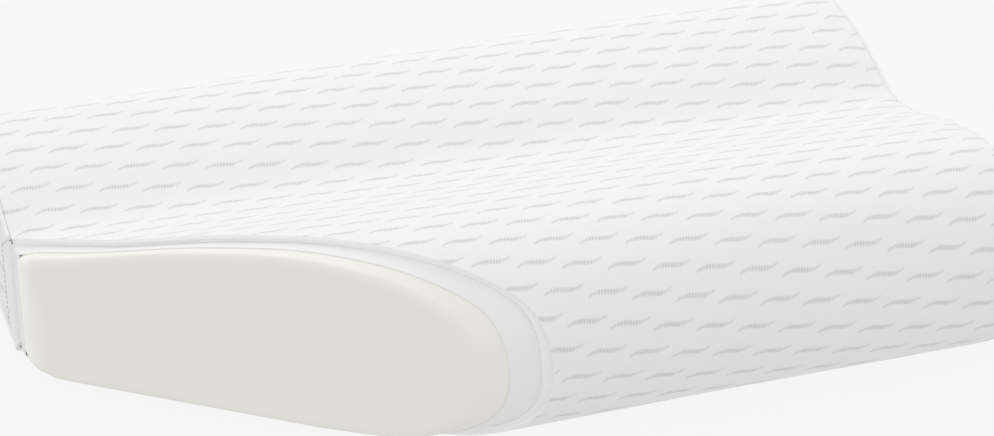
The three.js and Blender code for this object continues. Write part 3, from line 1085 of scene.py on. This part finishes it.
def makeLabel():
    points, uvs = [], []
    across, down = 19, 13
    for i in range(across):
        for j in range(down):
            a, b = i / (across - 1), j / (down - 1)
            x = labelShape["left"] + (labelShape["right"] - labelShape["left"]) * a
            z = labelShape["high"] + (labelShape["low"] - labelShape["high"]) * b
            proud = (0.25 + 0.5 * b ** 2 + 0.15 * math.sin(7 * a + 2 * b) * b) * mm
            arc = arcWhere(min(z, 56 * mm), backHigh - 0.01, backLow, 1)
            face = surfacePoints(np.array([x]), np.array([arc]), 0)[0]
            points.append((x, face[1] + proud, z))
            uvs.append((x, z))
    faces = sheetFaces(np.arange(len(points)).reshape(across, down))
    obj = meshObject("careLabel", points, faces, uvs)
    fixNormals(obj)
    useMaterial(obj, labelCloth)
    return thicken(obj, labelShape["thickness"], offset=0)


careLabel = makeLabel()
labelLine = [(x, backFace + 0.55 * mm, labelShape["high"] - 2 * mm)
             for x in np.linspace(labelShape["left"] + mm, labelShape["right"] - mm, 12)]
labelStitches = stitchRow("labelStitches", [labelLine], pitch=2.4 * mm, length=1.9 * mm)
print("label made")

finished = [
    (coverWrap, "pillow", "cover_wrap", "knit_fabric"),
    (coverLining, "pillow", "cover_lining", "lining_fabric"),
    (innerLiner, "pillow", "inner_liner", "liner_fabric"),
    (foamCore, "pillow", "foam_core", "foam"),
    (endPanelLeft, "pillow", "end_panel_left", "knit_fabric"),
    (endPanelRight, "pillow", "end_panel_right", "knit_fabric"),
    (pipingLeft, "pillow", "end_piping_left", "seam_fabric"),
    (pipingRight, "pillow", "end_piping_right", "seam_fabric"),
    (tapeUpper, "pillow", "zip_tape_upper", "tape_fabric"),
    (tapeLower, "pillow", "zip_tape_lower", "tape_fabric"),
    (teethUpper, "pillow", "zip_teeth_upper", "zip_plastic"),
    (teethLower, "pillow", "zip_teeth_lower", "zip_plastic"),
    (stopUpper, "pillow", "zip_stop_upper", "zip_metal"),
    (stopLower, "pillow", "zip_stop_lower", "zip_metal"),
    (endBox, "pillow", "zip_end_box", "zip_metal"),
    (slider, "slider", "zip_slider", "zip_metal"),
    (pull, "pull", "zip_pull", "zip_metal"),
    (careLabel, "pillow", "care_label", "label_fabric"),
    (seamStitchesLeft, "pillow", None, "seam_fabric"),
    (seamStitchesRight, "pillow", None, "seam_fabric"),
    (panelStitchesLeft, "pillow", None, "seam_fabric"),
    (tapeStitches, "pillow", None, "seam_fabric"),
    (labelStitches, "pillow", None, "seam_fabric"),
]
for obj, body, node, finish in finished:
    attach(obj, body)
    if node:
        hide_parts(node)

# Studio: pale floor, a broad light overhead and behind, and an even sky.
studio = {
    "floor": (0.035, 0.035, 0.035, 1),
    "floorGlow": 0.882,
    "sky": 0.955,
    "ground": 0.72,         # light from below the horizon, as off a pale table
    "overhead": 9.0,
    "overheadSize": (2.4, 1.6),
    "overheadAt": (0.3, 1.7, 1.35),
    "azimuth": -18.16,
    "elevation": 30.7,
    "distance": 1791.3 * mm,
    "aside": 8.3 * mm,
    "above": 46.2 * mm,
    "sideways": -5.3 * mm,
    "lens": 119.77,
}


def makeStudio():
    floor = meshObject("floor", [(-6, -6, 0), (6, -6, 0), (6, 6, 0), (-6, 6, 0)], [(0, 1, 2, 3)])
    floor.location.z = -0.0005
    pale = softMaterial("paleFloor", studio["floor"], 0.9, 5, 0.01 * mm, 0.0, 0.0)
    glow = pale.node_tree.nodes["Principled BSDF"].inputs
    glow["Emission Color"].default_value = (1, 1, 1, 1)
    glow["Emission Strength"].default_value = studio["floorGlow"]
    useMaterial(floor, pale)
    floor.visible_diffuse = False
    world = bpy.data.worlds.new("sky")
    world.use_nodes = True
    add, put, sums = wireUp(world.node_tree)
    heading = add("ShaderNodeTexCoord")
    split = add("ShaderNodeSeparateXYZ")
    put(split.inputs[0], heading.outputs["Generated"])
    ramp = add("ShaderNodeMapRange", interpolation_type="SMOOTHSTEP")
    for socket, value in zip(ramp.inputs, (split.outputs[2], -0.5, 0.5, studio["ground"], studio["sky"])):
        put(socket, value)
    put(world.node_tree.nodes["Background"].inputs["Strength"], ramp.outputs[0])
    world.node_tree.nodes["Background"].inputs["Color"].default_value = (1, 1, 1, 1)
    bpy.context.scene.world = world
    light = bpy.data.lights.new("overhead", "AREA")
    light.shape = "RECTANGLE"
    light.size, light.size_y = studio["overheadSize"]
    light.energy = studio["overhead"]
    lamp = bpy.data.objects.new("overhead", light)
    lamp.location = studio["overheadAt"]
    lamp.rotation_mode = "QUATERNION"
    lamp.rotation_quaternion = (Vector((0, 0, 0.05)) - lamp.location).to_track_quat("-Z", "Y")
    bpy.context.scene.collection.objects.link(lamp)
    a, e = math.radians(studio["azimuth"]), math.radians(studio["elevation"])
    back = Vector((math.sin(a) * math.cos(e), -math.cos(a) * math.cos(e), math.sin(e)))
    right = Vector((math.cos(a), math.sin(a), 0))
    up = back.cross(right)
    camera = bpy.data.objects.new("camera", bpy.data.cameras.new("camera"))
    camera.data.lens = studio["lens"]
    camera.data.sensor_width = 36
    camera.data.clip_start = 0.05
    camera.location = (back * studio["distance"] + right * studio["aside"] + up * studio["above"]
                       + Vector((0, studio["sideways"], 0)))
    camera.rotation_mode = "QUATERNION"
    camera.rotation_quaternion = (-back).to_track_quat("-Z", "Y")
    bpy.context.scene.collection.objects.link(camera)
    bpy.context.scene.camera = camera
    bpy.context.scene.view_settings.view_transform = "Standard"


makeStudio()
print("studio ready")

# What each cloth piece was cut from, as width by length, and its cut area where it isn't a rectangle.
cuts = [
    (coverWrap, (0.495, 0.747), 0.306, (foamCore, innerLiner), (seamStitchesLeft, seamStitchesRight)),
    (coverLining, (0.495, 0.735), 0.302, (foamCore, innerLiner), ()),
    (innerLiner, (0.520, 0.760), 0.341, (foamCore,), ()),
    (endPanelLeft, (0.135, 0.095), 0.0099, (foamCore, innerLiner), (panelStitchesLeft, pipingLeft)),
    (endPanelRight, (0.305, 0.105), 0.0240, (foamCore, innerLiner), (pipingRight,)),
    (tapeUpper, (0.0115, 0.362), 0.0035, (coverWrap,), (teethUpper, stopUpper)),
    (tapeLower, (0.0115, 0.362), 0.0035, (coverWrap,), (teethLower, stopLower, endBox, tapeStitches)),
    (careLabel, (0.022, 0.036), 0.00079, (coverWrap,), (labelStitches,)),
]
for cloth, flat, area, under, carried in cuts:
    list(under)
    list(carried)

bpy.context.view_layer.update()
